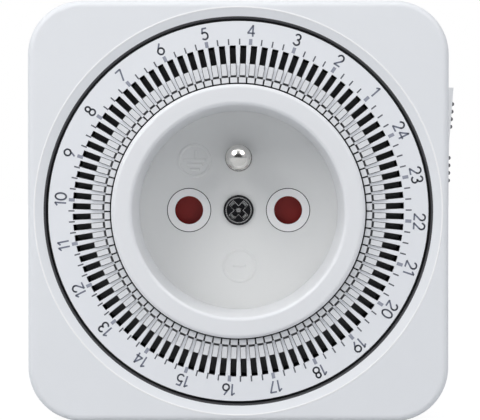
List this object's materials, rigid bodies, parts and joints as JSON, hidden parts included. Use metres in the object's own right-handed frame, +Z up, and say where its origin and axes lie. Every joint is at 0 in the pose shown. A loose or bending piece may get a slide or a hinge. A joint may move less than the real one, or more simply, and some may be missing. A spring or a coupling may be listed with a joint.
{
  "type": "plug in timer switch",
  "caption": "Plug in mechanical timer switch: square case with a turning dial of push tabs round an earthed socket, an override rocker at the side and a two-pin plug behind.",
  "frame": {"origin": "centre of the plug's face, between the two plug pins", "axes": "+Y into the wall socket along the plug pins, -Y out of the dial's front, +Z up, +X to the right seen from the front"},
  "size_m": [0.0805, 0.0765, 0.078],
  "materials": {
    "case_white": "fine satin moulding",
    "dial_white": "satin moulding",
    "floor_white": "satin moulding",
    "bush_white": "smooth",
    "nickel": "nickel plate",
    "screw_steel": "turned steel",
    "contact_brass": "stamped",
    "inner_white": "moulded",
    "shutter_red": "moulded",
    "rocker_white": "moulded",
    "lead_cover": "extruded cover"
  },
  "bodies": {
    "root": {"front_shell": "case_white", "rear_shell": "case_white", "plug_body": "case_white", "socket_collar": "case_white", "socket_face": "floor_white", "hole_bush_left": "bush_white", "hole_bush_right": "bush_white", "earth_pin": "nickel", "centre_screw": "screw_steel", "contact_block": "inner_white", "contact_left": "contact_brass", "contact_right": "contact_brass", "shutter_spring": "screw_steel", "live_pin": "nickel", "neutral_pin": "nickel", "earth_sleeve": "contact_brass", "earth_clips": "contact_brass", "earth_strap": "contact_brass", "live_feed_strap": "contact_brass", "switched_live_strap": "contact_brass", "neutral_strap": "contact_brass", "mechanism_plate": "inner_white", "motor_can": "screw_steel", "motor_leads": "lead_cover", "idler_axle": "screw_steel", "lever_pin": "screw_steel", "rocker_pin": "screw_steel", "fixed_contact": "contact_brass", "housing_screws": "screw_steel"},
    "dial": {"dial_ring": "dial_white"},
    "drive_gear": {"drive_gear": "inner_white"},
    "motor_pinion": {"motor_pinion": "screw_steel"},
    "rocker": {"rocker": "rocker_white"},
    "switch_lever": {"switch_lever": "inner_white", "moving_contact": "contact_brass"},
    "shutter": {"shutter": "shutter_red"},
    "hour_01_tabs": {"hour_01_tabs": "dial_white"},
    "hour_02_tabs": {"hour_02_tabs": "dial_white"},
    "hour_03_tabs": {"hour_03_tabs": "dial_white"},
    "hour_04_tabs": {"hour_04_tabs": "dial_white"},
    "hour_05_tabs": {"hour_05_tabs": "dial_white"},
    "hour_06_tabs": {"hour_06_tabs": "dial_white"},
    "hour_07_tabs": {"hour_07_tabs": "dial_white"},
    "hour_08_tabs": {"hour_08_tabs": "dial_white"},
    "hour_09_tabs": {"hour_09_tabs": "dial_white"},
    "hour_10_tabs": {"hour_10_tabs": "dial_white"},
    "hour_11_tabs": {"hour_11_tabs": "dial_white"},
    "hour_12_tabs": {"hour_12_tabs": "dial_white"},
    "hour_13_tabs": {"hour_13_tabs": "dial_white"},
    "hour_14_tabs": {"hour_14_tabs": "dial_white"},
    "hour_15_tabs": {"hour_15_tabs": "dial_white"},
    "hour_16_tabs": {"hour_16_tabs": "dial_white"},
    "hour_17_tabs": {"hour_17_tabs": "dial_white"},
    "hour_18_tabs": {"hour_18_tabs": "dial_white"},
    "hour_19_tabs": {"hour_19_tabs": "dial_white"},
    "hour_20_tabs": {"hour_20_tabs": "dial_white"},
    "hour_21_tabs": {"hour_21_tabs": "dial_white"},
    "hour_22_tabs": {"hour_22_tabs": "dial_white"},
    "hour_23_tabs": {"hour_23_tabs": "dial_white"},
    "hour_24_tabs": {"hour_24_tabs": "dial_white"}
  },
  "joints": [
    {"name": "dial_spin", "type": "hinge", "parent": "root", "child": "dial", "pos_m": [0, -0.05, 0], "axis": [0, 1, 0], "continuous": true},
    {"name": "drive_gear_spin", "type": "hinge", "parent": "root", "child": "drive_gear", "pos_m": [-0.02652, -0.048, -0.02652], "axis": [0, 1, 0], "continuous": true},
    {"name": "motor_pinion_spin", "type": "hinge", "parent": "root", "child": "motor_pinion", "pos_m": [-0.01478, -0.046, -0.02901], "axis": [0, 1, 0], "continuous": true},
    {"name": "rocker_tilt", "type": "hinge", "parent": "root", "child": "rocker", "pos_m": [0.0356, -0.038, 0.0133], "axis": [0, -1, 0], "range_deg": [0, 6]},
    {"name": "lever_swing", "type": "hinge", "parent": "root", "child": "switch_lever", "pos_m": [0.031, -0.0475, 0.0255], "axis": [0, 1, 0], "range_deg": [0, 8.4]},
    {"name": "shutter_turn", "type": "hinge", "parent": "root", "child": "shutter", "pos_m": [0, -0.0388, 0], "axis": [0, 1, 0], "range_deg": [0, 45], "stiffness_Nm_per_rad": 0.002},
    {"name": "hour_01_tabs_press", "type": "slide", "parent": "dial", "child": "hour_01_tabs", "axis": [0, 1, 0], "range_m": [0, 0.0024]},
    {"name": "hour_02_tabs_press", "type": "slide", "parent": "dial", "child": "hour_02_tabs", "axis": [0, 1, 0], "range_m": [0, 0.0024]},
    {"name": "hour_03_tabs_press", "type": "slide", "parent": "dial", "child": "hour_03_tabs", "axis": [0, 1, 0], "range_m": [0, 0.0024]},
    {"name": "hour_04_tabs_press", "type": "slide", "parent": "dial", "child": "hour_04_tabs", "axis": [0, 1, 0], "range_m": [0, 0.0024]},
    {"name": "hour_05_tabs_press", "type": "slide", "parent": "dial", "child": "hour_05_tabs", "axis": [0, 1, 0], "range_m": [0, 0.0024]},
    {"name": "hour_06_tabs_press", "type": "slide", "parent": "dial", "child": "hour_06_tabs", "axis": [0, 1, 0], "range_m": [0, 0.0024]},
    {"name": "hour_07_tabs_press", "type": "slide", "parent": "dial", "child": "hour_07_tabs", "axis": [0, 1, 0], "range_m": [0, 0.0024]},
    {"name": "hour_08_tabs_press", "type": "slide", "parent": "dial", "child": "hour_08_tabs", "axis": [0, 1, 0], "range_m": [0, 0.0024]},
    {"name": "hour_09_tabs_press", "type": "slide", "parent": "dial", "child": "hour_09_tabs", "axis": [0, 1, 0], "range_m": [0, 0.0024]},
    {"name": "hour_10_tabs_press", "type": "slide", "parent": "dial", "child": "hour_10_tabs", "axis": [0, 1, 0], "range_m": [0, 0.0024]},
    {"name": "hour_11_tabs_press", "type": "slide", "parent": "dial", "child": "hour_11_tabs", "axis": [0, 1, 0], "range_m": [0, 0.0024]},
    {"name": "hour_12_tabs_press", "type": "slide", "parent": "dial", "child": "hour_12_tabs", "axis": [0, 1, 0], "range_m": [0, 0.0024]},
    {"name": "hour_13_tabs_press", "type": "slide", "parent": "dial", "child": "hour_13_tabs", "axis": [0, 1, 0], "range_m": [0, 0.0024]},
    {"name": "hour_14_tabs_press", "type": "slide", "parent": "dial", "child": "hour_14_tabs", "axis": [0, 1, 0], "range_m": [0, 0.0024]},
    {"name": "hour_15_tabs_press", "type": "slide", "parent": "dial", "child": "hour_15_tabs", "axis": [0, 1, 0], "range_m": [0, 0.0024]},
    {"name": "hour_16_tabs_press", "type": "slide", "parent": "dial", "child": "hour_16_tabs", "axis": [0, 1, 0], "range_m": [0, 0.0024]},
    {"name": "hour_17_tabs_press", "type": "slide", "parent": "dial", "child": "hour_17_tabs", "axis": [0, 1, 0], "range_m": [0, 0.0024]},
    {"name": "hour_18_tabs_press", "type": "slide", "parent": "dial", "child": "hour_18_tabs", "axis": [0, 1, 0], "range_m": [0, 0.0024]},
    {"name": "hour_19_tabs_press", "type": "slide", "parent": "dial", "child": "hour_19_tabs", "axis": [0, 1, 0], "range_m": [0, 0.0024]},
    {"name": "hour_20_tabs_press", "type": "slide", "parent": "dial", "child": "hour_20_tabs", "axis": [0, 1, 0], "range_m": [0, 0.0024]},
    {"name": "hour_21_tabs_press", "type": "slide", "parent": "dial", "child": "hour_21_tabs", "axis": [0, 1, 0], "range_m": [0, 0.0024]},
    {"name": "hour_22_tabs_press", "type": "slide", "parent": "dial", "child": "hour_22_tabs", "axis": [0, 1, 0], "range_m": [0, 0.0024]},
    {"name": "hour_23_tabs_press", "type": "slide", "parent": "dial", "child": "hour_23_tabs", "axis": [0, 1, 0], "range_m": [0, 0.0024]},
    {"name": "hour_24_tabs_press", "type": "slide", "parent": "dial", "child": "hour_24_tabs", "axis": [0, 1, 0], "range_m": [0, 0.0024]}
  ],
  "couplings": [
    {"joint": "drive_gear_spin", "follows": "dial_spin", "ratio": -7.3333},
    {"joint": "motor_pinion_spin", "follows": "dial_spin", "ratio": 27.867},
    {"joint": "lever_swing", "follows": "rocker_tilt", "ratio": 1.4}
  ]
}
